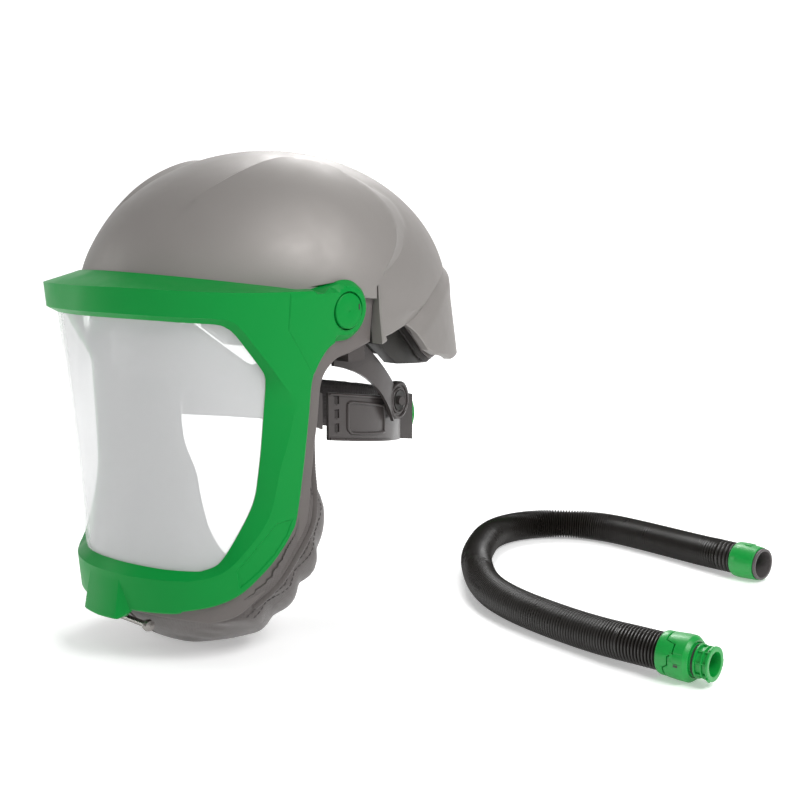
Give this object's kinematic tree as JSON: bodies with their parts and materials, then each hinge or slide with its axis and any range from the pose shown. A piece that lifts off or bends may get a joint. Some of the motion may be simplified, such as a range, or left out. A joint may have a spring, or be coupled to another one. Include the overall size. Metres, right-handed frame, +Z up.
{
  "type": "powered air respirator headtop",
  "caption": "Hard-shell respirator headtop with a flip-up full-face visor, fabric face seal, ratchet head harness and a detached corrugated breathing tube",
  "frame": {"origin": "middle of the visor's hinge axis, between the two pivots, which is also where the head mount is measured", "axes": "+Z up, -Y the way the wearer faces, +X the wearer's left; the hinge axis runs along X"},
  "size_m": [0.4367, 0.5025, 0.331],
  "materials": {
    "shell_grey": "satin metallic grey moulding",
    "visor_green": "satin green moulding",
    "seal_grey": "fine matte texture",
    "seal_fabric": "coated woven fabric",
    "lens_clear": "clear polycarbonate",
    "gasket_rubber": "soft matte rubber",
    "duct_black": "matte black moulding",
    "harness_grey": "satin dark grey moulding",
    "pad_fabric": "soft foam-backed fabric",
    "webbing": "woven webbing",
    "catch_metal": "satin metal",
    "hose_rubber": "black corrugated elastomer",
    "connector_green": "satin green moulding",
    "ring_grey": "matte dark grey moulding"
  },
  "bodies": {
    "root": {"crown_shell": "shell_grey", "brow_gasket": "gasket_rubber", "face_seal_frame": "seal_grey", "face_seal": "seal_fabric", "air_plenum": "duct_black", "inlet_flange": "seal_grey", "inlet_gasket": "gasket_rubber", "air_inlet_socket": "duct_black", "crown_strap_long": "webbing", "crown_strap_cross": "webbing", "strap_clips": "harness_grey", "crown_pad": "pad_fabric", "headband": "harness_grey", "brow_pad": "pad_fabric", "hanger_arm_left": "harness_grey", "hanger_arm_right": "harness_grey", "arm_anchor_left": "harness_grey", "arm_anchor_right": "harness_grey", "boss_pin_left": "harness_grey", "boss_pin_right": "harness_grey", "hinge_pin_left": "catch_metal", "hinge_pin_right": "catch_metal", "chin_catch": "catch_metal"},
    "visor": {"visor_frame": "visor_green", "visor_lens": "lens_clear", "lens_gasket": "gasket_rubber"},
    "cap_left": {"pivot_cap_left": "visor_green"},
    "cap_right": {"pivot_cap_right": "visor_green"},
    "nape": {"nape_band": "harness_grey", "nape_pad": "pad_fabric", "ratchet_housing": "harness_grey"},
    "knob": {"ratchet_knob": "connector_green"},
    "tube": {"breathing_tube": "hose_rubber", "near_cuff": "connector_green", "near_nozzle": "connector_green", "far_collar": "connector_green"},
    "near_collar": {"near_collar": "connector_green"},
    "far_ring": {"far_ring": "ring_grey"}
  },
  "joints": [
    {"name": "visor_hinge", "type": "hinge", "parent": "root", "child": "visor", "pos_m": [0, 0, 0], "axis": [-1, 0, 0], "range_deg": [0, 75]},
    {"name": "cap_left_turn", "type": "hinge", "parent": "visor", "child": "cap_left", "pos_m": [0.117, 0, 0], "axis": [1, 0, 0], "range_deg": [0, 90]},
    {"name": "cap_right_turn", "type": "hinge", "parent": "visor", "child": "cap_right", "pos_m": [-0.117, 0, 0], "axis": [-1, 0, 0], "range_deg": [0, 90]},
    {"name": "nape_tilt", "type": "hinge", "parent": "root", "child": "nape", "pos_m": [0, 0.085, -0.07], "axis": [1, 0, 0], "range_deg": [-8, 8]},
    {"name": "ratchet_turn", "type": "hinge", "parent": "nape", "child": "knob", "pos_m": [0, 0.155, -0.094], "axis": [0, 1, 0], "continuous": true},
    {"name": "tube_lift", "type": "slide", "parent": "root", "child": "tube", "axis": [0, 0, 1], "range_m": [0, 0.3]},
    {"name": "near_collar_turn", "type": "hinge", "parent": "tube", "child": "near_collar", "pos_m": [0.29798, 0.11371, -0.2121], "axis": [0.9989, 0.0476, 0], "continuous": true},
    {"name": "far_ring_turn", "type": "hinge", "parent": "tube", "child": "far_ring", "pos_m": [0.21794, 0.34369, -0.2128], "axis": [0.9956, -0.0933, 0], "continuous": true}
  ]
}
